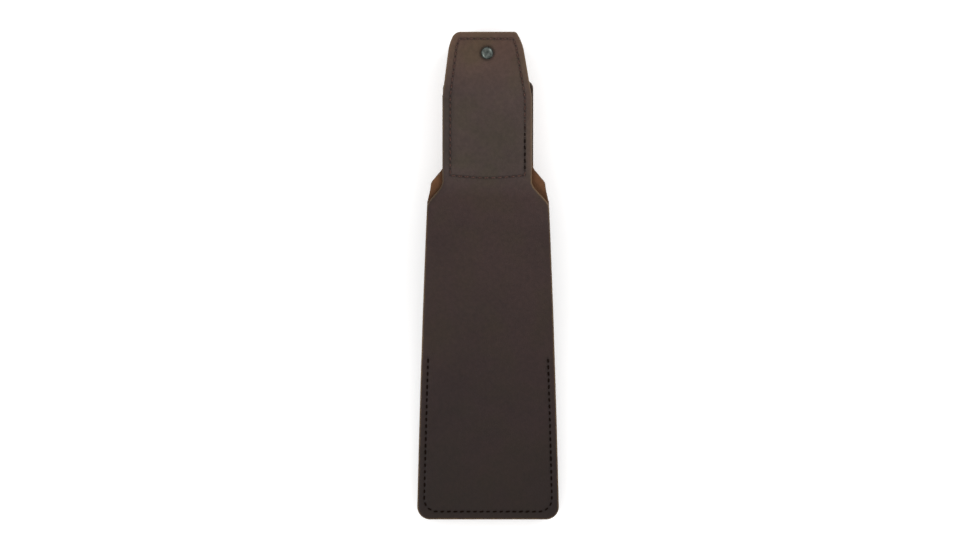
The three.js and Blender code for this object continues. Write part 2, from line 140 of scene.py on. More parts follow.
# The body narrows evenly to the mouth, with a slight outward bow and round bottom corners.
def bodyHalf(y):
    o = outline
    share = (y - o["bottomCorner"]) / (o["shoulder"] - o["bottomCorner"])
    bow = o["sideBow"] * np.sin(np.pi * clamp01(y / o["shoulder"]))
    return mix(o["bottomHalf"], o["mouthHalf"], share) + bow - cornerInset(o["bottomCorner"], y)


# The body eases into the tongue's neck, which then tapers, leans a little and rounds off.
def coverEdges(y):
    o = outline
    t = smooth((y - o["shoulder"]) / o["shoulderRise"])
    fromTaper = np.maximum(0, y - (o["length"] - o["taper"]))
    fromRound = np.maximum(0, y - (o["length"] - o["roundFrom"]))
    tongue = o["neckHalf"] - o["slope"] * fromTaper - o["roundness"] * fromRound**2
    half = mix(bodyHalf(np.minimum(y, o["shoulder"])), tongue, t)
    centre = o["shift"] * t - o["lean"] * fromTaper / o["taper"]
    fromEnd = o["length"] - y
    left, right = (half - cornerInset(radius, fromEnd) for radius in o["corners"])
    return centre - left, centre + right


# The body up to the shoulders, a straight chamfer on each, then a neck with round corners.
def panelEdges(y):
    o = outline
    ease = smooth((y - o["shoulder"]) / (o["panelShoulder"] - o["shoulder"]))
    half = mix(bodyHalf(np.minimum(y, o["shoulder"])), o["panelShoulderHalf"], ease)
    half = half - o["chamfer"] * clamp01((y - o["panelShoulder"]) / o["chamferRise"])
    half = half - cornerInset(o["panelNeckCorner"], o["panelNeckTop"] - y)
    return -half, half


# The cover stands off by an eased ramp up times an eased ramp down, and makes the belt's tunnel.
def coverRise(y):
    o = outline
    return o["tunnelRise"] * between(y, o["tunnelStart"], o["tunnelEnd"], o["tunnelRamp"], o["tunnelRamp"])


# the seams, as paths on the leather
seam = dict(margin=4.4, lift=0.8, boxLeft=5.0, boxRight=4.5, boxTop=4.4, boxBottom=221.3, boxBow=1.6,
            sideGap=(1, 3), pitch=4.23)


# Down the left side at a margin from the edge, round the bottom and up the right side.
def lowerSeamPath(top):
    corner, margin = outline["bottomCorner"], seam["margin"]
    turn = np.linspace(0, np.pi / 2, 24)
    low = margin + seam["lift"]
    y = np.concatenate([low + corner * (1 - np.cos(turn)), np.linspace(low + corner, top, 160)[1:]])
    x = bodyHalf(np.maximum(y, corner)) - margin - cornerInset(corner, y - low)
    floor = np.linspace(0, 1, 120)[:-1]
    half = np.column_stack([x, y])
    bottom = np.column_stack([floor * x[0], np.full(len(floor), low)])
    right = np.vstack([bottom, half])
    return np.vstack([(right * [-1, 1])[::-1], right[1:]])


# Up one side, from just past the lower seam to just under the mouth.
def sideSeamPath(side):
    y = np.linspace(outline["tunnelStart"] + seam["sideGap"][0], outline["mouth"] - seam["sideGap"][1], 120)
    return np.column_stack([side * (bodyHalf(y) - seam["margin"]), y])


# Once round the tongue: up the left, across the end, down the right, and a bottom row that bows.
def boxSeamPath():
    top = outline["length"] - seam["boxTop"]
    y = np.linspace(seam["boxBottom"], top, 160)
    left, right = coverEdges(y)
    left, right = left + seam["boxLeft"], right - seam["boxRight"]
    share = np.linspace(0, 1, 60)[1:-1]
    across = np.column_stack([mix(left[-1], right[-1], share), np.full(len(share), top)])
    bowed = seam["boxBottom"] - seam["boxBow"] * np.sin(np.pi * share)
    back = np.column_stack([mix(right[0], left[0], share), bowed])
    up = np.column_stack([left, y])
    down = np.column_stack([right, y])[::-1]
    return np.vstack([up, across, down, back, up[:1]])


def pathLength(path):  # the sum of its steps
    return np.linalg.norm(np.diff(path, axis=0), axis=1).sum()


def stitchCount(path):  # whole stitches nearest to the pitch
    return int(round(pathLength(path) / seam["pitch"]))


# Puts points and faces into a mesh, with one float attribute for each field.
def addMesh(name, points, faces, toFrame=toRow, fields=None):
    mesh = bpy.data.meshes.new(name)
    mesh.from_pydata(toFrame(points).tolist(), [], faces)
    mesh.shade_smooth()
    for field, values in (fields or {}).items():
        layer = mesh.attributes.new(field, "FLOAT", "POINT")
        layer.data.foreach_set("value", np.asarray(values, np.float32).ravel())
    piece = bpy.data.objects.new(name, mesh)
    bpy.context.scene.collection.objects.link(piece)
    return piece


# Quads of a grid whose points run along each row in turn; closed joins the last column to the first.
def gridFaces(rows, columns, closed=False, flip=False):
    index = np.arange(rows * columns).reshape(rows, columns)
    if closed:
        index = np.hstack([index, index[:, :1]])
    quads = np.stack([index[:-1, :-1], index[:-1, 1:], index[1:, 1:], index[1:, :-1]], -1)
    quads = quads.reshape(-1, 4)
    return quads[:, ::-1] if flip else quads


farFromSeam = 9.0  # for leather that no seam crosses


# A closed sheet between two side edges. Its rows are the stations; its columns lie at fixed
# distances from both edges, then evenly between them. Its two faces close on the outline, where
# the thickness falls as a quarter ellipse over the rim's width. reach(u) shortens the column at u,
# and grainUp says which face is the grain side.
def sheetPiece(name, stations, edges, top, bottom, band=(1.2, 2.5, 4, 5.5), middle=20, rim=0.6,
               reach=None, relief=None, fields=None, grainUp=True, toFrame=toRow):
    band = np.concatenate([rimSteps, band])
    y = np.repeat(stations[:, None], 2 * len(band) + middle, 1)

    def columnsAt(left, right):
        scale = np.minimum(1, (right - left) * 0.45 / band[-1])[:, None]
        low = left[:, None] + band * scale
        high = (right[:, None] - band * scale)[:, ::-1]
        share = np.linspace(0, 1, middle + 2)[1:-1]
        return np.hstack([low, mix(low[:, -1:], high[:, :1], share), high])

    left, right = edges(stations)
    x = columnsAt(left, right)
    if reach is not None:
        u = 2 * (x - left[:, None]) / (right - left)[:, None] - 1
        y = stations[0] + (y - stations[0]) * reach(u)
        left, right = edges(y)
        x = mix(left, right, (u + 1) / 2)
    rows, columns = x.shape
    flat = np.column_stack([x.ravel(), y.ravel()])
    index = np.arange(rows * columns).reshape(rows, columns)
    rimLoop = np.concatenate([index[0], index[1:, -1], index[-1, -2::-1], index[-2:0:-1, 0], index[0, :1]])
    fromEdge = alongPath(flat, flat[rimLoop])[0]
    fromEdge[rimLoop] = 0
    fullness = np.sqrt(1 - (1 - clamp01(fromEdge / rim)) ** 2)
    px, py = flat.T
    high, low = top(px, py), bottom(px, py)
    heart = (high + low) / 2
    lift = relief(px, py, fromEdge) if relief else 0
    upper = np.column_stack([px, py, heart + (high - heart + lift) * fullness])
    lower = np.column_stack([px, py, heart + (low - heart) * fullness])
    # the lower face shares the outline's points with the upper one
    inner = np.ones(rows * columns, bool)
    inner[rimLoop] = False
    lowerIndex = np.where(inner, rows * columns + np.cumsum(inner) - 1, np.arange(rows * columns))
    points = np.vstack([upper, lower[inner]])
    faces = np.vstack([gridFaces(rows, columns), lowerIndex[gridFaces(rows, columns, flip=True)]])
    values = {"fromEdge": fromEdge, "grainSide": np.full(len(px), float(grainUp))}
    if fields:
        values.update(fields(px, py, fromEdge))
    under = {"grainSide": np.full(inner.sum(), float(not grainUp))}
    both = {k: np.concatenate([v, under.get(k, v[inner])]) for k, v in values.items()}
    return addMesh(name, points, faces.tolist(), toFrame, both)


# A strip carried along a path. Its profile at each place is two flats joined by half ellipses:
# centre + across * (flat share * (halfWidth - rim) + rim * arc) + out * halfThickness * height.
def stripPiece(name, centres, across, out, halfWidth, halfThickness, rim=0.6, flats=9, toFrame=toRow):
    turn = np.linspace(np.pi / 2, -np.pi / 2, 9)
    run = np.linspace(-1, 1, flats)
    share = np.concatenate([run, np.ones(7), run[::-1], -np.ones(7)])
    arc = np.concatenate([np.zeros(flats), np.cos(turn[1:-1]), np.zeros(flats), -np.cos(turn[1:-1])])
    height = np.concatenate([np.ones(flats), np.sin(turn[1:-1]), -np.ones(flats), -np.sin(turn[1:-1])])
    width = np.broadcast_to(halfWidth, len(centres))[:, None]
    corner = np.minimum(rim, 0.6 * width)
    side = (share * (width - corner) + corner * arc)[:, :, None]
    thick = np.broadcast_to(halfThickness, len(centres))[:, None]
    points = centres[:, None] + across[:, None] * side + out[:, None] * (thick * height)[:, :, None]
    rows, columns = points.shape[:2]
    faces = gridFaces(rows, columns, closed=True, flip=True).tolist()
    faces.append(list(range(columns)))
    faces.append(list(range((rows - 1) * columns, rows * columns))[::-1])
    fields = {
        "fromEdge": np.maximum(0, width - np.abs(side[:, :, 0])) * np.ones((rows, columns)),
        "grainSide": np.repeat((height > 0)[None], rows, 0).astype(float),
        "seamAcross": np.full((rows, columns), farFromSeam),
    }
    return addMesh(name, points.reshape(-1, 3), faces, toFrame, fields)


# A profile of (radius, height) turned about Z: x = radius cos a, y = radius sin a, z = height.
# A profile that ends where it starts makes a ring; any other gets a disc at each end.
def turnedPiece(name, profile, centre, sides=48, toFrame=toRow):
    ring = profile[0] == profile[-1]
    radius, height = np.array(profile[:-1] if ring else profile, float).T
    angle = np.arange(sides) * 2 * np.pi / sides
    points = np.stack([
        radius[:, None] * np.cos(angle),
        radius[:, None] * np.sin(angle),
        np.repeat(height[:, None], sides, 1),
    ], -1) + centre
    rows = len(radius)
    faces = (gridFaces(rows + ring, sides, closed=True) % (rows * sides)).tolist()
    if not ring:
        faces.append(list(range(sides))[::-1])
        faces.append(list(range((rows - 1) * sides, rows * sides)))
    return addMesh(name, points.reshape(-1, 3), faces, toFrame)


stitch = dict(visible=2.7, radius=0.46, lean=5, leanVaries=3.5, lengthVaries=0.07, depthVaries=0.04,
              stands=0.38, sunk=0.3, rings=7, sides=6)


# One stitch for each pitch of the path: a capsule that rises from its hole, runs along the
# leather and sinks into the next. Its middle follows 1 - t^4 and its radius sqrt(1 - 0.93 t^6).
# No two are pulled alike: length, lean and depth vary a little. waxed(x, y) darkens a stretch.
def stitchesPiece(name, path, level, out=1, waxed=None):
    rings, sides = stitch["rings"], stitch["sides"]
    drawn = np.random.default_rng(len(path))
    count = stitchCount(path)
    steps = np.concatenate([[0], np.cumsum(np.linalg.norm(np.diff(path, axis=0), axis=1))])
    middles = (np.arange(count) + 0.5) * steps[-1] / count
    at = [np.column_stack([np.interp(middles + d, steps, path[:, i]) for i in (0, 1)]) for d in (-1, 0, 1)]
    tangent = at[2] - at[0]
    tangent /= np.linalg.norm(tangent, axis=1)[:, None]
    lean = np.radians(stitch["lean"] + drawn.normal(0, stitch["leanVaries"], count)) * out
    turned = np.column_stack([
        tangent[:, 0] * np.cos(lean) - tangent[:, 1] * np.sin(lean),
        tangent[:, 0] * np.sin(lean) + tangent[:, 1] * np.cos(lean),
    ])
    forward = np.column_stack([turned, np.zeros(count)])
    up = np.array([0, 0, out], float)
    side = np.cross(up, forward)
    t = np.linspace(-1, 1, rings)
    angle = np.arange(sides) * 2 * np.pi / sides
    thickness = stitch["radius"] * np.sqrt(1 - 0.93 * t**6)
    rise = stitch["stands"] * (1 - t**4) - stitch["sunk"]
    depth = level + out * drawn.normal(0, stitch["depthVaries"], count)
    reach = stitch["visible"] / 2 * (1 + drawn.normal(0, stitch["lengthVaries"], count))
    centre = np.column_stack([at[1], depth])[:, None, None]
    points = (centre + forward[:, None, None] * (t * reach[:, None])[:, :, None, None]
              + up * (rise[:, None] + thickness[:, None] * np.sin(angle))[..., None]
              + side[:, None, None] * (thickness[:, None] * np.cos(angle))[..., None])
    one = gridFaces(rings, sides, closed=True)
    each = np.arange(count)[:, None, None] * rings * sides
    faces = (one[None] + each).reshape(-1, 4).tolist()
    firstEnd, lastEnd = np.arange(sides)[::-1], np.arange(sides) + (rings - 1) * sides
    ends = (np.array([firstEnd, lastEnd]) + each).reshape(-1, sides).tolist()
    dark = waxed(at[1][:, 0], at[1][:, 1]) if waxed else np.zeros(count)
    fields = {"waxed": np.repeat(dark, rings * sides)}
    return addMesh(name, points.reshape(-1, 3), faces + ends, fields=fields)


# An sRGB hex colour to linear: each channel over 12.92 when dark, else the 2.4 power curve.
def linearColour(hexColour):
    srgb = [int(hexColour[i:i + 2], 16) / 255 for i in (0, 2, 4)]
    return [c / 12.92 if c <= 0.04045 else ((c + 0.055) / 1.055) ** 2.4 for c in srgb] + [1]


# Adds a node, sets its settings, and fills its inputs with values or with links from sockets.
def addNode(tree, kind, inputs=None, **settings):
    added = tree.nodes.new("ShaderNode" + kind)
    for key, value in settings.items():
        setattr(added, key, value)
    for key, value in (inputs or {}).items():
        if isinstance(value, bpy.types.NodeSocket):
            tree.links.new(value, added.inputs[key])
        else:
            added.inputs[key].default_value = value
    return added


# A principled material, and the Object coordinates that its patterns lie on.
def newMaterial(name, roughness=0.5, metallic=0.0, ior=1.5):
    material = bpy.data.materials.new(name)
    material.use_nodes = True
    tree = material.node_tree
    shader = tree.nodes["Principled BSDF"]
    shader.inputs["Roughness"].default_value = roughness
    shader.inputs["Metallic"].default_value = metallic
    if not metallic:
        shader.inputs["IOR"].default_value = ior
    place = addNode(tree, "TexCoord").outputs["Object"]
    return material, tree, shader, place


def ranged(low, high, fromLow, fromHigh):  # the inputs of a Map Range node
    return {"From Min": fromLow, "From Max": fromHigh, "To Min": low, "To Max": high}


# Vegetable-tanned hide, dyed and waxed: a pebbled grain side, a fuzzy flesh side, cut edges that
# show the paler heart of the hide, and thread holes pressed into a groove.
def makeLeather(name, look):
    material, tree, shader, place = newMaterial(name)
    field = {key: addNode(tree, "Attribute", attribute_name=key).outputs["Fac"]
             for key in ("fromEdge", "grainSide", "seamAcross", "seamAlong", "seamHoles", "flesh",
                         "worn", "darkened")}

    # colour: the dye is uneven in patches and leans to olive in some; the tone steps with height along the sheath,
    # paler and browner towards the tongue
    patches = addNode(tree, "TexNoise", {
        "Vector": place, "Scale": 1000 / look["patchMm"], "Detail": 6, "Roughness": 0.62}).outputs["Fac"]
    specks = addNode(tree, "TexNoise", {
        "Vector": place, "Scale": 1000 / look["speckMm"], "Detail": 3, "Roughness": 0.6}).outputs["Fac"]
    height = addNode(tree, "SeparateXYZ", {0: place}).outputs["Y"]
    dyed = linearColour(look["heightTones"][0][1])
    for (start, _), (end, shade) in zip(look["heightTones"], look["heightTones"][1:]):
        climb = addNode(tree, "MapRange", {
            "Value": height, **ranged(0, 1, start / 1000, end / 1000)}).outputs[0]
        dyed = addNode(tree, "Mix", {
            0: climb, 6: dyed, 7: linearColour(shade)}, data_type="RGBA").outputs[2]
    tint = addNode(tree, "TexNoise", {
        "Vector": place, "Scale": 1000 / look["tintMm"], "Detail": 3}).outputs["Fac"]
    tint = addNode(tree, "MapRange", {"Value": tint, **ranged(0, look["tinted"], 0.42, 0.66)}).outputs[0]
    dyed = addNode(tree, "Mix", {
        0: tint, 6: dyed, 7: linearColour(look["tintColour"])},
        data_type="RGBA", blend_type="MULTIPLY").outputs[2]
    patchy = addNode(tree, "MapRange", {
        "Value": patches, **ranged(1 - look["patchy"], 1 + look["patchy"], 0.32, 0.68)}).outputs[0]
    speckled = addNode(tree, "MapRange", {
        "Value": specks, **ranged(1 - look["speckled"], 1 + look["speckled"], 0.3, 0.7)}).outputs[0]
    shade = addNode(tree, "Math", {0: patchy, 1: speckled}, operation="MULTIPLY").outputs[0]

    # the flesh side and the bare split leather
    fleshy = addNode(tree, "Math", {0: 1.0, 1: field["grainSide"]}, operation="SUBTRACT").outputs[0]
    bare = addNode(tree, "Math", {0: fleshy, 1: field["flesh"]}, operation="MAXIMUM").outputs[0]
    colour = addNode(tree, "Mix", {
        0: bare, 6: dyed, 7: linearColour(look["fleshColour"])}, data_type="RGBA").outputs[2]

    # the cut edge: paler heart in the rim, ragged by the fine noise
    ragged = addNode(tree, "Math", {
        0: specks, 1: look["rimWidth"], 2: field["fromEdge"]}, operation="MULTIPLY_ADD").outputs[0]
    rim = addNode(tree, "MapRange", {
        "Value": ragged, **ranged(look["rimShare"], 0, look["rimWidth"] * 0.55, look["rimWidth"] * 1.15)})
    colour = addNode(tree, "Mix", {
        0: rim.outputs[0], 6: colour, 7: linearColour(look["rimColour"])}, data_type="RGBA").outputs[2]

    # margins rubbed by the hand lose some dye
    rubbed = addNode(tree, "MapRange", {
        "Value": field["fromEdge"], **ranged(look["rubbed"], 0, 1.5, 5.5)}).outputs[0]
    rubbed = addNode(tree, "Math", {0: rubbed, 1: field["worn"]}, operation="MULTIPLY").outputs[0]
    colour = addNode(tree, "Mix", {
        0: rubbed, 6: colour, 7: linearColour(look["rubbedColour"])}, data_type="RGBA").outputs[2]

    # painted shade darkens the groove and each hole between two stitches; the darkened field adds painted shade,
    # and on the neck's left margin a darker tone
    groove = addNode(tree, "MapRange", {
        "Value": field["seamAcross"], **ranged(look["grooveShade"], 1, 0.45, 1.5)}).outputs[0]
    phase = addNode(tree, "Math", {0: field["seamAlong"]}, operation="FRACT").outputs[0]
    fromHole = addNode(tree, "Math", {0: phase, 1: 0.5}, operation="SUBTRACT").outputs[0]
    fromHole = addNode(tree, "Math", {0: fromHole}, operation="ABSOLUTE").outputs[0]
    fromHole = addNode(tree, "Math", {0: 0.5, 1: fromHole}, operation="SUBTRACT").outputs[0]
    fromHole = addNode(tree, "Math", {0: fromHole, 1: seam["pitch"]}, operation="MULTIPLY").outputs[0]
    alongSquared = addNode(tree, "Math", {0: fromHole, 1: 2.0}, operation="POWER").outputs[0]
    acrossSquared = addNode(tree, "Math", {0: field["seamAcross"], 1: 2.0}, operation="POWER").outputs[0]
    reach = addNode(tree, "Math", {0: alongSquared, 1: acrossSquared}, operation="ADD").outputs[0]
    hole = addNode(tree, "MapRange", {
        "Value": reach, **ranged(look["holeShare"], 0, 0.1, 0.75)}).outputs[0]
    hole = addNode(tree, "Math", {0: hole, 1: field["seamHoles"]}, operation="MULTIPLY").outputs[0]
    shade = addNode(tree, "Math", {0: shade, 1: groove}, operation="MULTIPLY").outputs[0]
    # painted shade: the darkened field makes the colour up to half darker
    darkening = addNode(tree, "Math", {
        0: field["darkened"], 1: -0.5, 2: 1.0}, operation="MULTIPLY_ADD").outputs[0]
    shade = addNode(tree, "Math", {0: shade, 1: darkening}, operation="MULTIPLY").outputs[0]
    colour = addNode(tree, "HueSaturation", {"Value": shade, "Color": colour}).outputs[0]
    # painted shade in each thread hole
    colour = addNode(tree, "Mix", {
        0: hole, 6: colour, 7: linearColour(look["holeShadeColour"])}, data_type="RGBA").outputs[2]
    tree.links.new(colour, shader.inputs["Base Color"])

    # gloss: the wax lies unevenly, and bare leather has none
    waxed = addNode(tree, "MapRange", {
        "Value": patches, **ranged(look["glossy"], look["matt"], 0.3, 0.7)}).outputs[0]
    rough = addNode(tree, "Mix", {0: bare, 2: waxed, 3: 0.92}).outputs[0]
    tree.links.new(rough, shader.inputs["Roughness"])
    shader.inputs["Specular IOR Level"].default_value = look["specular"]

    # grain: pebbles with creases between them, drawn coarser than the real 0.5 mm so that it shows
    bent = addNode(tree, "TexNoise", {"Vector": place, "Scale": 500, "Detail": 2}).outputs["Color"]
    shifted = addNode(tree, "Mix", {0: 0.0011, 6: place, 7: bent}, data_type="RGBA").outputs[2]
    pebbles = addNode(tree, "TexVoronoi", {
        "Vector": shifted, "Scale": 1000 / look["pebbleMm"]}, feature="DISTANCE_TO_EDGE").outputs["Distance"]
    crease = addNode(tree, "MapRange", {"Value": pebbles, **ranged(0, 1, 0, 0.22)}).outputs[0]
    relief = addNode(tree, "Math", {
        0: specks, 1: look["fuzz"], 2: crease}, operation="MULTIPLY_ADD").outputs[0]
    relief = addNode(tree, "Math", {0: hole, 1: -1.0, 2: relief}, operation="MULTIPLY_ADD").outputs[0]
    bump = addNode(tree, "Bump", {
        "Strength": look["bump"], "Distance": 0.00012, "Height": relief}).outputs[0]
    tree.links.new(bump, shader.inputs["Normal"])
    return material


# Gives a piece its material, the body it rides on, and the nodes that it stands for; slotName is not used.
def paintPiece(piece, material, body, slotName, *replaced):
    piece.data.materials.clear()
    piece.data.materials.append(material)
    if body:
        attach(piece, body)
    if replaced:
        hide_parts(*replaced)
    return piece


# height tones are the colours at heights along the sheath, in millimetres from its middle; the cover's darken
# towards the pocket's end
coverLook = dict(
    heightTones=((-150, "1d120e"), (-77, "251816"), (-20, "2c1e1b"), (50, "31221f"), (66, "382c29"),
          (95, "3b2f2a"), (118, "3f312d"), (150, "49352c")),
    patchMm=38, patchy=0.16, speckMm=2.4, speckled=0.12, tintMm=20, tinted=0.9, tintColour="f2ffe6",
    fleshColour="6b4a2f", rimColour="675138", rimWidth=1.7, rimShare=0.75, rubbed=0.3, rubbedColour="594535",
    grooveShade=0.78, holeShare=0.85, holeShadeColour="1a0b06",
    glossy=0.42, matt=0.58, specular=0.2, pebbleMm=1.3, fuzz=1.2, bump=0.5,
)
panelLook = dict(coverLook, heightTones=((-150, "281b14"), (150, "2d1d14")), fleshColour="5b3d28",
                 rimColour="5a4634", rimShare=0.6, rubbed=0.0, patchMm=24)
cutLook = dict(coverLook, heightTones=((-150, "4a3a30"), (150, "4a3a30")), rimColour="6a543f", patchMm=14,
               matt=0.75, glossy=0.6)

waxedHide = makeLeather("hide dyed dark brown and waxed", coverLook)
pocketHide = makeLeather("hide dyed dark brown, wet formed", panelLook)
cutHide = makeLeather("hide with raw cut faces", cutLook)


waxColour = "070403"


# Waxed twisted polyester: a dull shine, and strands that catch light as short slanted lines.
def makeThread(name, colour, pale):
    material, tree, shader, place = newMaterial(name, roughness=0.75)
    shader.inputs["Specular IOR Level"].default_value = 0.03
    strands = addNode(tree, "TexNoise", {"Vector": place, "Scale": 2200, "Detail": 2}).outputs["Fac"]
    tone = addNode(tree, "MapRange", {"Value": strands, **ranged(0, 1, 0.35, 0.7)}).outputs[0]
    waxed = addNode(tree, "Attribute", attribute_name="waxed").outputs["Fac"]
    colour = addNode(tree, "Mix", {
        0: tone, 6: linearColour(colour), 7: linearColour(pale)}, data_type="RGBA").outputs[2]
    colour = addNode(tree, "Mix", {
        0: waxed, 6: colour, 7: linearColour(waxColour)}, data_type="RGBA").outputs[2]
    tree.links.new(colour, shader.inputs["Base Color"])
    bump = addNode(tree, "Bump", {"Strength": 0.5, "Distance": 0.0001, "Height": strands}).outputs[0]
    tree.links.new(bump, shader.inputs["Normal"])
    return material


darkThread = makeThread("waxed thread, nearly black", "0c0502", "170b06")
redThread = makeThread("waxed thread, red brown", "2f1f1c", "624c46")


# A plated or ground metal: fine scratches one way, and dull patches where hands have been.
def makeMetal(name, look):
    material, tree, shader, place = newMaterial(name, look["roughness"], 1.0)
    stretched = addNode(tree, "Mapping", {"Vector": place, "Scale": look["stretch"]}).outputs[0]
    lines = addNode(tree, "TexNoise", {
        "Vector": stretched, "Scale": 1000 / look["lineMm"], "Detail": 4}).outputs["Fac"]
    smudges = addNode(tree, "TexNoise", {
        "Vector": place, "Scale": 1000 / look["smudgeMm"], "Detail": 3}).outputs["Fac"]
    tone = addNode(tree, "MapRange", {"Value": smudges, **ranged(0, 1, 0.35, 0.65)}).outputs[0]
    colour = addNode(tree, "Mix", {
        0: tone, 6: linearColour(look["colour"]), 7: linearColour(look["worn"])}, data_type="RGBA").outputs[2]
    tree.links.new(colour, shader.inputs["Base Color"])
    rough = addNode(tree, "MapRange", {
        "Value": lines, **ranged(look["roughness"] - 0.1, look["roughness"] + 0.12, 0.3, 0.7)}).outputs[0]
    tree.links.new(rough, shader.inputs["Roughness"])
    bump = addNode(tree, "Bump", {
        "Strength": look["bump"], "Distance": 0.00003, "Height": lines}).outputs[0]
    tree.links.new(bump, shader.inputs["Normal"])
    return material


groundSteel = makeMetal("stainless steel, satin ground across", dict(
    colour="b9bcbd", worn="a3a6a8", roughness=0.33, lineMm=0.5, stretch=(0.06, 1, 1), smudgeMm=30, bump=0.35))
filedBrass = makeMetal("brass, filed flush with the wood", dict(
    colour="b08d4a", worn="8f7038", roughness=0.34, lineMm=0.4, stretch=(1, 0.2, 1), smudgeMm=3, bump=0.3))
gunmetalPlate = makeMetal("steel plated antique gunmetal", dict(
    colour="3f4441", worn="616763", roughness=0.32, lineMm=1.4, stretch=(1, 1, 1), smudgeMm=2.0, bump=0.4))


# Oiled hardwood: growth lines along the handle, open pores as short dark flecks, a soft shine.
def makeWood(name, look):
    material, tree, shader, place = newMaterial(name)
    along = addNode(tree, "Mapping", {"Vector": place, "Scale": (1, 0.07, 1)}).outputs[0]
    bands = addNode(tree, "TexNoise", {
        "Vector": along, "Scale": 1000 / look["bandMm"], "Detail": 4, "Distortion": 0.6}).outputs["Fac"]
    pores = addNode(tree, "TexNoise", {
        "Vector": along, "Scale": 1000 / look["poreMm"], "Detail": 2}).outputs["Fac"]
    tone = addNode(tree, "MapRange", {"Value": bands, **ranged(0, 1, 0.3, 0.7)}).outputs[0]
    colour = addNode(tree, "Mix", {
        0: tone, 6: linearColour(look["dark"]), 7: linearColour(look["light"])}, data_type="RGBA").outputs[2]
    fleck = addNode(tree, "MapRange", {"Value": pores, **ranged(0.55, 1, 0.36, 0.46)}).outputs[0]
    colour = addNode(tree, "HueSaturation", {"Value": fleck, "Color": colour}).outputs[0]
    tree.links.new(colour, shader.inputs["Base Color"])
    rough = addNode(tree, "MapRange", {"Value": bands, **ranged(0.38, 0.52, 0.3, 0.7)}).outputs[0]
    tree.links.new(rough, shader.inputs["Roughness"])
    bump = addNode(tree, "Bump", {"Strength": 0.35, "Distance": 0.0001, "Height": pores}).outputs[0]
    tree.links.new(bump, shader.inputs["Normal"])
    return material


oiledWood = makeWood("walnut, shaped on a belt sander and oiled", dict(
    dark="5a3820", light="95653b", bandMm=4, poreMm=0.8))
print("materials made")

# the back of the sheath
lowerSeam = lowerSeamPath(outline["tunnelStart"])
boxSeam = boxSeamPath()
coverShape = dict(
    rowStep=0.8, columns=58, band=(1, 1.5, 2.1, 2.7, 3.2, 3.6, 4, 4.4, 4.8, 5.2, 5.8, 6.6),
    grooveDepth=0.28, grooveWidth=0.8, rollDepth=0.25, rollWidth=1.6, pucker=0.09,
    dentDepth=0.5, dentRadius=4.6, dentWidth=1.4, lowerHoles=0.25,
)
# rubbed wear, a darker left margin on the neck, and painted shade round the rivet and along the left shoulder's
# edge
# places as (start, length of the ramp), spans as (low, high, ramp up, ramp down)
coverWearAndShade = dict(
    tongue=(262, 42), rightMargin=(215, 15), sideways=(-10, 20),
    leftMarginDarker=0.5, leftMarginDarkerFrom=(19, 6), leftMarginDarkerSpan=(222, 292, 12, 24),
    shoulderEdgeShade=0.9, shoulderEdgeShadeWidth=1.4, shoulderEdgeShadeFrom=(15, 6), shoulderEdgeShadeSpan=(190, 240, 14, 12),
    rivetShadeRadius=4.4, rivetShadeWidth=0.6,
)


# Slow hills left by wetting and drying: sine waves of 30 to 90 mm that cross each other.
def unevenness(x, y):
    return (0.16 * np.sin(x / 14 + y / 23 + 1) * np.sin(y / 17 - x / 31)
            + 0.1 * np.sin(x / 6.5 - y / 11 + 2) + 0.06 * np.sin(y / 5.2 + x / 9))


def fromRivet(x, y):  # distance from the rivet's middle
    return np.hypot(x - rivetAt[0], y - rivetAt[1])


# How far each point is from the nearest seam, and how many stitches along it that is.
def seamFields(x, y, paths):
    points = np.column_stack([x, y])
    found = [alongPath(points, path) for path in paths]
    across = np.array([f[0] for f in found])
    count = np.array([stitchCount(path) / pathLength(path) for path in paths])
    along = np.array([f[1] for f in found]) * count[:, None]
    nearest = across.argmin(0)
    pick = np.arange(len(x))
    return across[nearest, pick], along[nearest, pick]


# The slow hills, less the groove, the puckers beside each stitch, the rolled edge and the rivet's dent.
def coverRelief(x, y, fromEdge):
    c = coverShape
    across, along = seamFields(x, y, [lowerSeam, boxSeam])
    pucker = c["pucker"] * np.cos(2 * np.pi * along) * np.exp(-((across - 0.9) / 1.1) ** 2)
    groove = c["grooveDepth"] * np.exp(-((across / c["grooveWidth"]) ** 2))
    roll = c["rollDepth"] * np.exp(-((fromEdge / c["rollWidth"]) ** 2))
    dent = c["dentDepth"] * np.exp(-(((fromRivet(x, y) - c["dentRadius"]) / c["dentWidth"]) ** 2))
    hills = unevenness(x, y) * smooth(fromEdge / 9)
    return hills - groove - pucker - roll - dent


def past(place, ramp):  # eases from 0 to 1 from a ramp's start over its length
    return smooth((place - ramp[0]) / ramp[1])


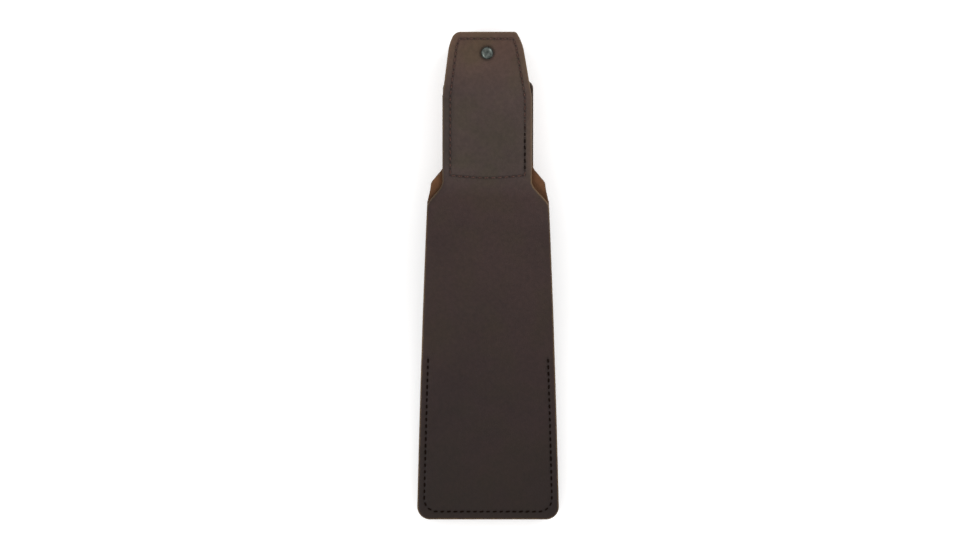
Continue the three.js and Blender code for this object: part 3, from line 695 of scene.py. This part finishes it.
# Hands rub the tongue's end and its right margin, and the neck's left margin is darker. Painted shade
# rings the rivet and lies along the left shoulder's cut edge. Each is a product of eased steps or a bell curve.
def coverFields(x, y, fromEdge):
    w = coverWearAndShade
    across, along = seamFields(x, y, [lowerSeam, boxSeam])
    holes = np.where(y > outline["shoulder"], 1.0, coverShape["lowerHoles"])  # the box seam's show most
    worn = mix(past(y, w["tongue"]), past(y, w["rightMargin"]), past(x, w["sideways"]))
    # darker along the neck's left margin
    darkening = w["leftMarginDarker"] * past(-x, w["leftMarginDarkerFrom"]) * between(y, *w["leftMarginDarkerSpan"])
    # painted shade in a ring round the rivet's cap, where the leather is pressed in
    ring = np.exp(-(((fromRivet(x, y) - w["rivetShadeRadius"]) / w["rivetShadeWidth"]) ** 2))
    # painted shade along the cut edge of the left shoulder
    shoulder = past(-x, w["shoulderEdgeShadeFrom"]) * between(y, *w["shoulderEdgeShadeSpan"])
    shoulderEdgeShade = w["shoulderEdgeShade"] * np.exp(-((fromEdge / w["shoulderEdgeShadeWidth"]) ** 2)) * shoulder
    return {"seamAcross": across, "seamAlong": along, "seamHoles": holes,
            "worn": worn, "darkened": np.maximum(np.maximum(darkening, ring), shoulderEdgeShade)}


def noSeams(x, y, fromEdge):  # fields that a sheet leaves out are 0
    return {"seamAcross": np.full(len(x), farFromSeam)}


cover = sheetPiece(
    "cover", stationsBetween(0, outline["length"], coverShape["rowStep"]), coverEdges,
    top=lambda x, y: backLevel + coverRise(y), bottom=lambda x, y: backLevel - leather + coverRise(y),
    band=coverShape["band"], middle=coverShape["columns"], relief=coverRelief, fields=coverFields)
paintPiece(cover, waxedHide, "sheath", "cover_leather", "belt_cover")

backLook = dict(rowStep=1.5, fleshEnd=227.4, fade=4, coverShadow=2.6, coverShadowLeft=0.7, coverShadowRight=0.35)


# The split flesh face shows up to the cut shoulders, and the neck is dyed. The cover's shadow is
# painted beside its edge, as a bell curve of the distance from it, stronger on the left.
def backFields(x, y, fromEdge):
    b = backLook
    left, right = coverEdges(y)
    outside = np.maximum(left - x, x - right)
    # painted shadow of the cover on the flesh beside it
    coverShadow = np.where(x < 0, b["coverShadowLeft"], b["coverShadowRight"]) * np.exp(-((outside / b["coverShadow"]) ** 2))
    flesh = 1 - smooth((y - b["fleshEnd"]) / b["fade"])
    return {**noSeams(x, y, fromEdge), "flesh": flesh, "darkened": coverShadow}


backPanel = sheetPiece(
    "back_panel_leather", stationsBetween(0, outline["panelNeckTop"], backLook["rowStep"]), panelEdges,
    top=lambda x, y: leather + 0 * x, bottom=lambda x, y: 0 * x, fields=backFields)
paintPiece(backPanel, pocketHide, "sheath", "panel_leather", "back_panel")

linerShape = dict(rowStep=1.0, inset=0.4, gap=0.3)


def linerEdges(y):  # the tongue's edges, a little way in
    left, right = coverEdges(y)
    return left + linerShape["inset"], right - linerShape["inset"]


linerFrom = outline["panelNeckTop"] + linerShape["gap"]
liner = sheetPiece(
    "liner_leather", stationsBetween(linerFrom, outline["length"], linerShape["rowStep"]), linerEdges,
    top=lambda x, y: leather + 0 * x, bottom=lambda x, y: 0 * x, fields=noSeams)
paintPiece(liner, cutHide, "sheath", "cut_leather", "tongue_liner")

lowerStitches = stitchesPiece("lower_stitches_back", lowerSeam, backLevel)
paintPiece(lowerStitches, darkThread, "sheath", "dark_thread", "lower_seam_back_thread")


waxedPart = dict(share=0.9, rightOf=(12, 6), span=(222.5, 262, 3, 16))


def waxedStretch(x, y):  # the lower right of the box seam took up more wax
    return waxedPart["share"] * past(x, waxedPart["rightOf"]) * between(y, *waxedPart["span"])


boxStitches = stitchesPiece("box_stitches_back", boxSeam, backLevel, waxed=waxedStretch)
paintPiece(boxStitches, redThread, "sheath", "tongue_thread", "box_seam_back_thread")
print("back of the sheath made")

# the pocket's front, formed over the blade
pocket = dict(flange=-6.0, weltFront=-3.3, knifeMiddle=-12.5, lean=math.radians(1.2), strapY=299.4,
              bladeHalf=23.5, halfSteel=1.5, gutter=5.0, clear=0.7, sunk=0.3, ramp=8.0, foot=6.1,
              rowStep=1.1, columns=56, band=(1, 1.6, 2.3, 3, 3.6, 4.1, 4.6, 5.2, 6, 7, 8))


def gutterRise(x, half=pocket["bladeHalf"]):  # the blade's sides stand up as the square of x
    return pocket["gutter"] * (x / half) ** 2


# The leather follows the blade's round side, and eases to the flange before the welt.
def pocketBulge(x, y):
    p = pocket
    side = np.abs(x)
    steel = p["knifeMiddle"] + (p["strapY"] - y) * math.tan(p["lean"]) - p["halfSteel"]
    depth = p["weltFront"] - p["sunk"] - (steel - p["clear"]) - gutterRise(np.minimum(side, p["bladeHalf"]))
    foot = p["bladeHalf"] + p["clear"]
    beside = 1 - smooth((side - foot) / (bodyHalf(y) - outline["weltWidth"] - foot))
    return np.maximum(0, depth) * beside * smooth((y - p["foot"]) / p["ramp"])


frontPaths = [lowerSeamPath(outline["tunnelStart"] - 1), sideSeamPath(-1), sideSeamPath(1)]


def frontFields(x, y, fromEdge):  # the grooves and faint holes of three seams
    across, along = seamFields(x, y, frontPaths)
    return {"seamAcross": across, "seamAlong": along, "seamHoles": np.full(len(x), coverShape["lowerHoles"])}


mouthReach = outline["mouthDip"] / outline["mouth"]
frontPanel = sheetPiece(
    "pocket_front", stationsBetween(0, outline["mouth"], pocket["rowStep"]),
    lambda y: (-bodyHalf(y), bodyHalf(y)),
    top=lambda x, y: pocket["flange"] + leather - pocketBulge(x, y),
    bottom=lambda x, y: pocket["flange"] - pocketBulge(x, y),
    band=pocket["band"], middle=pocket["columns"],
    reach=lambda u: 1 - mouthReach * (1 - u * u), fields=frontFields, grainUp=False)
paintPiece(frontPanel, pocketHide, "sheath", "panel_leather", "front_panel")

for name, path, node in (("lower_stitches_front", frontPaths[0], "lower_seam_front_thread"),
                         ("side_stitches_left", frontPaths[1], "side_seam_thread_left"),
                         ("side_stitches_right", frontPaths[2], "side_seam_thread_right")):
    paintPiece(stitchesPiece(name, path, pocket["flange"], out=-1), darkThread, "sheath", "dark_thread", node)

# the welt: a strip round the U, from the outline to its own width inside
weltShape = dict(width=outline["weltWidth"], innerCorner=6.3, halfThickness=1.5, rim=0.4,
                 outerFrom=12, innerFrom=18, sideSteps=60, floorSteps=30)


# Half of a U at an inset: a floor from the middle, a round corner, then up the side to the mouth.
def halfU(inset, corner, sideFrom):
    turn = np.linspace(0, np.pi / 2, 16)
    y = inset + corner * (1 - np.cos(turn))
    y = np.concatenate([y, np.linspace(sideFrom, outline["mouth"], weltShape["sideSteps"])])
    extra = cornerInset(corner, y - inset) if inset else 0  # the outline has its own corner
    half = np.column_stack([bodyHalf(y) - inset - extra, y])
    floorShare = np.linspace(0, 1, weltShape["floorSteps"])[:-1, None]
    half = np.vstack([floorShare * half[0] * [1, 0] + [0, inset], half])
    return np.vstack([(half * [-1, 1])[::-1], half[1:]])


outerLine = halfU(0, outline["bottomCorner"], weltShape["outerFrom"])
innerLine = halfU(weltShape["width"], weltShape["innerCorner"], weltShape["innerFrom"])
middleLine, spread = (outerLine + innerLine) / 2, (innerLine - outerLine) / 2
weltHalf = np.linalg.norm(spread, axis=1)
flatZ = np.full(len(middleLine), pocket["weltFront"] + weltShape["halfThickness"])
welt = stripPiece(
    "welt_leather", np.column_stack([middleLine, flatZ]),
    np.column_stack([spread / weltHalf[:, None], 0 * flatZ]),
    np.tile([0.0, 0.0, 1.0], (len(flatZ), 1)), weltHalf, weltShape["halfThickness"], rim=weltShape["rim"])
paintPiece(welt, cutHide, "sheath", "cut_leather", "welt")
print("pocket made")

# the strap round the handle, and its press stud
strap = dict(y=299.4, halfWidth=8.5, halfThickness=1.0, side=17.2, back=-1.3, capFront=-28.7, studFront=-23.7,
             reach=9.0, bend=3.0, rim=0.5, endSteps=18, blendAbove=5, blendInside=4.5)


# Half of the strip: from under the rivet to the side, forward beside the handle, and back across
# its front to a round end. The two corners are arcs of the bend's radius.
def strapHalf(name, side, front):
    s = strap
    bend, endSteps = s["bend"], s["endSteps"]
    turn = np.linspace(0, np.pi / 2, 14)
    back = np.column_stack([np.linspace(0, s["side"] - bend, 10), np.full(10, s["back"])])[:-1]
    first = np.column_stack([s["side"] - bend + bend * np.sin(turn), s["back"] - bend + bend * np.cos(turn)])
    sides = np.linspace(s["back"] - bend, front + bend, 14)[1:-1]
    down = np.column_stack([np.full(12, s["side"]), sides])
    second = np.column_stack([s["side"] - bend + bend * np.cos(turn), front + bend - bend * np.sin(turn)])
    run = np.linspace(s["side"] - bend, s["halfWidth"] - s["reach"], 12)[1:]
    end = s["halfWidth"] - s["reach"] - s["halfWidth"] * np.sin(np.linspace(0, np.pi / 2, endSteps)[1:])
    last = np.concatenate([run, end])
    last = np.column_stack([last, np.full(len(last), front)])
    path = np.vstack([back, first, down, second, last])
    step = np.gradient(path, axis=0)
    step /= np.linalg.norm(step, axis=1)[:, None]
    outward = np.column_stack([-step[:, 1], step[:, 0]])
    past = clamp01((s["halfWidth"] - s["reach"] - path[:, 0]) / s["halfWidth"])
    past[:len(path) - endSteps] = 0
    width = s["halfWidth"] * np.sqrt(np.maximum(1 - past**2, 0.0004))  # the tip keeps a fiftieth of it
    centres = np.column_stack([path[:, 0] * side, np.full(len(path), s["y"]), path[:, 1]])
    out = np.column_stack([outward[:, 0] * side, 0 * past, outward[:, 1]])
    across = np.tile([0.0, side, 0.0], (len(path), 1))
    piece = stripPiece(name, centres, across, out, width, s["halfThickness"], rim=s["rim"])
    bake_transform(piece)
    return piece


strapLeft = strapHalf("strap_left", -1, strap["capFront"])
paintPiece(strapLeft, pocketHide, None, "panel_leather", "strap_band", "strap_cap_flap")
strapRight = strapHalf("strap_right", 1, strap["studFront"])
paintPiece(strapRight, pocketHide, None, "panel_leather", "strap_stud_flap")


def dome(radius, low, high, steps=12):  # a rounded top: radius cos a, low to high as sin a
    a = np.linspace(0, np.pi / 2 - 0.03, steps)
    return [(radius * math.cos(t), low + (high - low) * math.sin(t)) for t in a]


# profiles of (radius, height): the rivet's from the cover's face, the others from the sheath's frame
fittings = dict(
    rivetCap=[(0.2, 0), (3.5, 0), (3.85, 0.1), (4, 0.35), (3.9, 0.6)] + dome(3.7, 0.7, 1.95),
    rivetPost=[(0.2, -3.2), (3.2, -3.2), (3.8, -3.05), (4, -2.85), (3.9, -2.6), (1.5, -2.55), (1.5, 5.0),
               (0.2, 5.0)],
    snapCap=[(0.2, -31.2), (4.2, -31.15), (5.6, -31.0), (6.2, -30.75), (6.5, -30.4), (6.45, -30.1),
             (6.0, -30.0), (1.5, -30.0), (1.5, -27.6), (0.2, -27.6)],
    snapSocket=[(2.5, -27.3), (2.8, -27.4), (5.2, -27.4), (5.5, -27.2), (5.5, -26.9), (5.2, -26.7),
                (4.0, -26.6), (3.8, -26.1), (3.4, -25.8), (2.9, -25.85), (2.55, -26.2), (2.4, -26.9),
                (2.5, -27.3)],
    snapStud=[(0.2, -27.0), (1.4, -26.98), (1.9, -26.8), (2.0, -26.5), (1.75, -26.0), (1.9, -25.6),
              (4.8, -25.5), (5.3, -25.4), (5.5, -25.2), (5.3, -25.02), (1.5, -25.0), (1.5, -22.7),
              (0.2, -22.7)],
    snapEyelet=[(1.0, -22.4), (3.6, -22.4), (3.9, -22.3), (4.0, -22.15), (3.8, -21.95), (1.4, -21.9),
                (1.0, -22.1), (1.0, -22.4)],
)
strapAt = np.array([0, strap["y"], 0.0])
postAt = np.array([*rivetAt, 0.0])
capAt = np.array([*rivetAt, backLevel + 0.1])
for name, shape, centre, body, node in (
        ("rivet_cap", "rivetCap", capAt, "sheath", "tongue_rivet_cap"),
        ("rivet_post", "rivetPost", postAt, "sheath", "tongue_rivet_post"),
        ("snap_cap_turned", "snapCap", strapAt, "cap_flap", "snap_cap"),
        ("snap_socket_turned", "snapSocket", strapAt, "cap_flap", "snap_socket"),
        ("snap_stud_turned", "snapStud", strapAt, "stud_flap", "snap_stud"),
        ("snap_eyelet_turned", "snapEyelet", strapAt, "stud_flap", "snap_eyelet")):
    paintPiece(turnedPiece(name, fittings[shape], centre), gunmetalPlate, body, "gunmetal", node)
print("strap and press stud made")

# the knife
blade = dict(length=179, half=23.5, thickness=3.0, edge=0.5, bevel=6.0, point=48, roundness=1.7, tip=0.7,
             taper=0.94, toothPitch=5, toothDepth=1.6, teethStart=62, teeth=20, tangLap=1,
             rowStep=0.8, columns=24, band=(1.6, 3, 4.5, 5.9, 6.2))
handle = dict(length=113.5, half=15, neckHalf=12.5, thickness=18, neckThickness=12, rise=0.25, swell=1.8,
              corner=7, gap=0.3, edge=1.0, columns=24, band=(0.9, 1.3, 1.9, 2.6, 3.5),
              rivets=(16, 48, 80), rivetRadius=3, rivetProud=0.05)


# Pointed as 1 - (1 - t)^1.7 under a root, nearly parallel behind; scallops cut the left side.
def bladeEdges(y):
    b = blade
    point = clamp01(y / b["point"])
    full = b["half"] * mix(b["taper"], 1, y / b["length"])
    half = np.maximum(b["tip"], full * np.sqrt(1 - (1 - point) ** b["roundness"]))
    tooth = (y - b["teethStart"]) / b["toothPitch"]
    scallop = b["toothDepth"] * (1 - (2 * (tooth % 1) - 1) ** 2)
    return np.where((tooth > 0) & (tooth < b["teeth"]), scallop, 0) - half, half


# Thin at the cutting edge, and full thickness past the ground bevel.
def bladeHalfThickness(x, y):
    fromSide = bladeEdges(y)[1] - np.abs(x)
    return mix(blade["edge"], blade["thickness"], clamp01(fromSide / blade["bevel"])) / 2


bladePiece = sheetPiece(
    "gutter_blade", stationsBetween(0, blade["length"], blade["rowStep"]), bladeEdges,
    top=lambda x, y: gutterRise(x) + bladeHalfThickness(x, y),
    bottom=lambda x, y: gutterRise(x) - bladeHalfThickness(x, y),
    band=blade["band"], middle=blade["columns"], rim=0.3, toFrame=knifeToRow)


# The grip eases from the neck to its full width, and ends in round corners.
def handleEdges(y):
    h = handle
    along = y - blade["length"]
    half = mix(h["neckHalf"], h["half"], smooth(np.maximum(along, 0) / h["length"] * h["swell"]))
    half = half - cornerInset(h["corner"], h["length"] - along)
    return -half, half


halfSteel = blade["thickness"] / 2
tangPiece = sheetPiece(
    "tang", stationsBetween(blade["length"] - blade["tangLap"], blade["length"] + handle["length"], 1.5),
    handleEdges, top=lambda x, y: halfSteel + 0 * x, bottom=lambda x, y: -halfSteel + 0 * x,
    rim=0.2, toFrame=knifeToRow)
for piece in (bladePiece, tangPiece):
    paintPiece(piece, groundSteel, "knife", "blade_steel", "blade_and_tang")


def handleHalfThickness(along):  # eases from the neck's to the grip's within the rise
    h = handle
    return mix(h["neckThickness"], h["thickness"], smooth(along / (h["length"] * h["rise"]))) / 2


# The wood's outer face: full in the middle, and falls to the edge as the root of 1 - share^4.
def scaleCrown(x, y):
    inner = halfSteel + handle["gap"]
    share = np.minimum(1, np.abs(x) / np.maximum(handleEdges(y)[1], 0.1))
    crown = handleHalfThickness(y - blade["length"]) - inner - handle["edge"]
    return inner + handle["edge"] + crown * np.sqrt(np.maximum(0, 1 - share**4))


# side 1 lies on the hollow side of the blade, -1 on the round side.
def handleScale(name, side, node):
    inner = halfSteel + 0.02  # just clear of the tang
    upper, lower = (scaleCrown, lambda x, y: inner + 0 * x) if side > 0 else (
        lambda x, y: -inner + 0 * x, lambda x, y: -scaleCrown(x, y))
    piece = sheetPiece(
        name, stationsBetween(blade["length"], blade["length"] + handle["length"], 1.0), handleEdges,
        top=upper, bottom=lower, band=handle["band"], middle=handle["columns"], toFrame=knifeToRow)
    return paintPiece(piece, oiledWood, "knife", "handle_wood", node)


handleScale("wood_scale_back", 1, "handle_scale_back")
handleScale("wood_scale_front", -1, "handle_scale_front")
for number, place in enumerate(handle["rivets"], 1):
    high = float(handleHalfThickness(place)) + handle["rivetProud"]
    r = handle["rivetRadius"]
    rimmed = [(0.2, high), (r * 0.6, high - 0.02), (r * 0.93, high - 0.08), (r, high - 0.25)]
    profile = [(a, -b) for a, b in rimmed] + rimmed[::-1]
    rivet = turnedPiece(f"brass_rivet_{number}", profile, np.array([0, blade["length"] + place, 0]),
                        toFrame=knifeToRow)
    paintPiece(rivet, filedBrass, "knife", "rivet_brass", f"handle_rivet_{number}")
print("knife made")

# floor, light and camera: metres, watts, and millimetres for the lens and its sensor
stage = dict(floorSize=16.0, floorGlow=0.18, lampAt=(1.3, 0.9, 1.5), lampSize=0.9, lampWatts=12, sky=0.95,
             frameWidth=0.6258, focus=0.026, lens=200, sensor=36, cameraX=0.0006, cameraY=0.0008)


def makeFloor():  # one wide matt white square that glows a little, so that it stays white
    material, tree, shader, place = newMaterial("matt white sheet", roughness=0.9)
    cloud = addNode(tree, "TexNoise", {"Vector": place, "Scale": 3, "Detail": 2}).outputs["Fac"]
    tone = addNode(tree, "Mix", {
        0: cloud, 6: linearColour("fbfbfb"), 7: linearColour("ffffff")}, data_type="RGBA").outputs[2]
    tree.links.new(tone, shader.inputs["Base Color"])
    shader.inputs["Emission Color"].default_value = (1, 1, 1, 1)
    shader.inputs["Emission Strength"].default_value = stage["floorGlow"]
    half = stage["floorSize"] / 2
    corners = np.array([[-half, -half, 0], [half, -half, 0], [half, half, 0], [-half, half, 0]])
    floor = addMesh("floor", corners, [[0, 1, 2, 3]], toFrame=lambda p: p)
    floor.data.materials.append(material)


def addSoftbox(name, place):  # a disc lamp that faces the sheath
    data = bpy.data.lights.new(name, "AREA")
    data.shape, data.size, data.energy = "DISK", stage["lampSize"], stage["lampWatts"]
    lamp = bpy.data.objects.new(name, data)
    bpy.context.scene.collection.objects.link(lamp)
    lamp.location = place
    lamp.rotation_euler = (-Vector(place)).to_track_quat("-Z", "Y").to_euler()


makeFloor()
lampX, lampY, lampZ = stage["lampAt"]
addSoftbox("softbox at the right", (lampX, lampY, lampZ))
addSoftbox("softbox at the left", (-lampX, -lampY, lampZ))
world = bpy.data.worlds.new("pale studio")
world.use_nodes = True
world.node_tree.nodes["Background"].inputs["Color"].default_value = (1, 1, 1, 1)
world.node_tree.nodes["Background"].inputs["Strength"].default_value = stage["sky"]
bpy.context.scene.world = world
bpy.context.scene.view_settings.view_transform = "Standard"

cameraData = bpy.data.cameras.new("camera")
cameraData.lens, cameraData.sensor_width = stage["lens"], stage["sensor"]
cameraData.clip_end = 50
camera = bpy.data.objects.new("camera", cameraData)
away = stage["frameWidth"] * stage["lens"] / stage["sensor"]  # the frame is that wide at the sheath's back
camera.location = (stage["cameraX"], stage["cameraY"], stage["focus"] + away)
bpy.context.scene.collection.objects.link(camera)
bpy.context.scene.camera = camera
print("floor, light and camera made")
